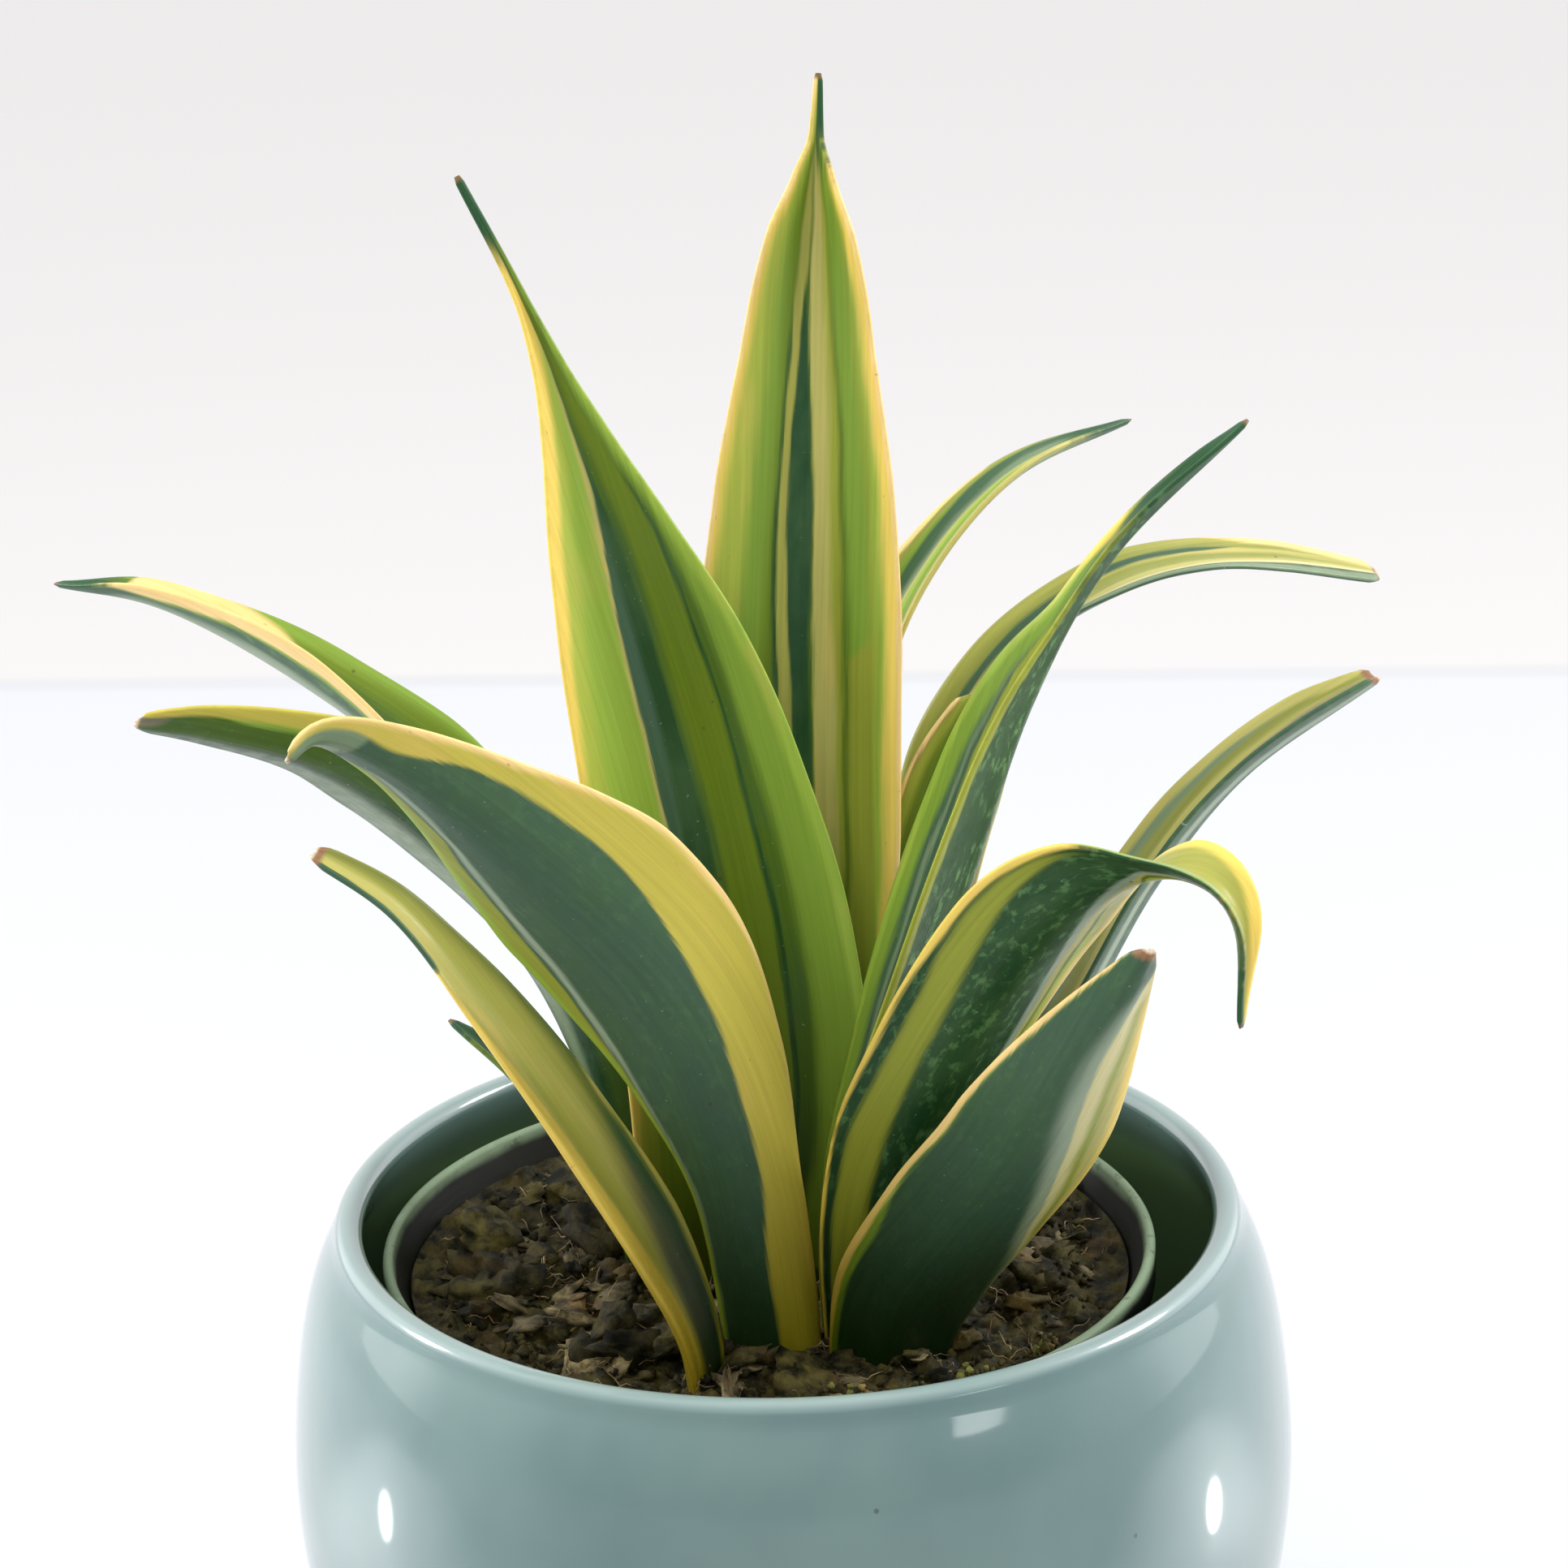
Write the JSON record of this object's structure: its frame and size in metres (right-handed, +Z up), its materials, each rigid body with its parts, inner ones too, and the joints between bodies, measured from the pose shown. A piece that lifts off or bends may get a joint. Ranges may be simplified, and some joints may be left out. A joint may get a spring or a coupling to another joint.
{
  "type": "potted snake plant",
  "caption": "Short variegated snake plant with folded, pointed leaves in peat soil, in a nursery pot standing inside a rounded glazed ceramic cache pot.",
  "frame": {"origin": "centre of the cache pot's flat foot", "axes": "+Z up along the pots' axis, -Y towards the side that the picture shows, +X to its right"},
  "size_m": [0.2113, 0.1572, 0.2821],
  "materials": {
    "glaze": "glossy duck-egg blue-grey glaze",
    "nursery_plastic": "satin dark green moulded plastic",
    "soil": "rough dark peat with bark and fibres",
    "leaf": "satin leaf with lengthwise green stripes and yellow margins"
  },
  "bodies": {
    "root": {"cache_pot": "glaze", "grow_pot": "nursery_plastic", "soil": "soil", "leaf_tall_back": "leaf", "leaf_tall_left": "leaf", "leaf_right_upright": "leaf", "leaf_right_arching": "leaf", "leaf_front_left": "leaf", "leaf_front_right": "leaf", "leaf_left_upper": "leaf", "leaf_left_long": "leaf", "leaf_left_low": "leaf", "leaf_left_small": "leaf", "leaf_right_low": "leaf", "leaf_right_back": "leaf", "leaf_right_long": "leaf", "leaf_right_short": "leaf"}
  },
  "joints": []
}
